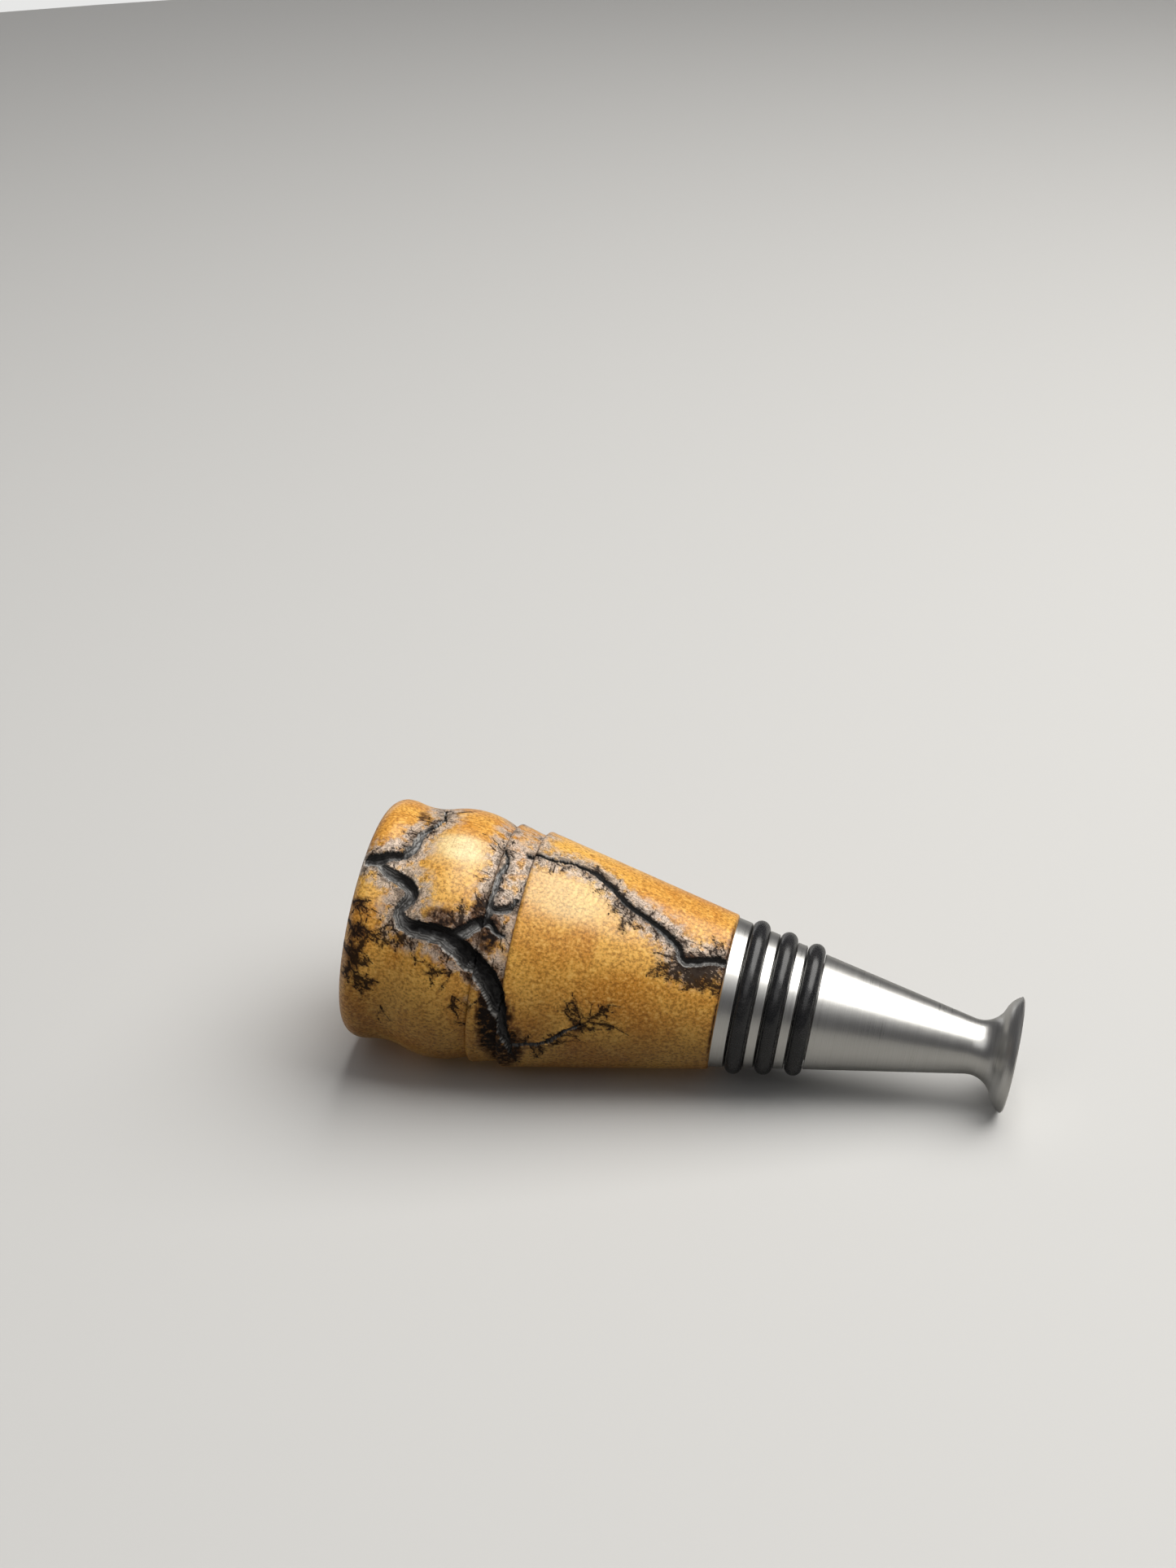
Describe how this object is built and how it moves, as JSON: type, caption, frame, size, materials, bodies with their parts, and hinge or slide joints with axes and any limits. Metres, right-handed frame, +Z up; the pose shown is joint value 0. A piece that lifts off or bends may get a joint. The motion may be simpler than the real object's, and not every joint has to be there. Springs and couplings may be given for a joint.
{
  "type": "bottle stopper",
  "caption": "Bottle stopper with a turned wooden handle carved by burnt channels, on a tapered steel plug with black rubber rings and a flared foot.",
  "frame": {"origin": "middle of the flat face of the steel foot, on which the stopper stands", "axes": "+Z up the axis of turning, from the foot to the wooden head; -Y is the front, where the long channels are"},
  "size_m": [0.0358, 0.0358, 0.0926],
  "materials": {
    "wood": "oiled satin, scorched dark beside the channels",
    "steel": "satin, fine turning lines",
    "rubber": "matte black, slightly dusty"
  },
  "bodies": {
    "root": {"wood_handle": "wood", "steel_stopper": "steel", "o_ring_top": "rubber", "o_ring_middle": "rubber", "o_ring_bottom": "rubber"}
  },
  "joints": []
}
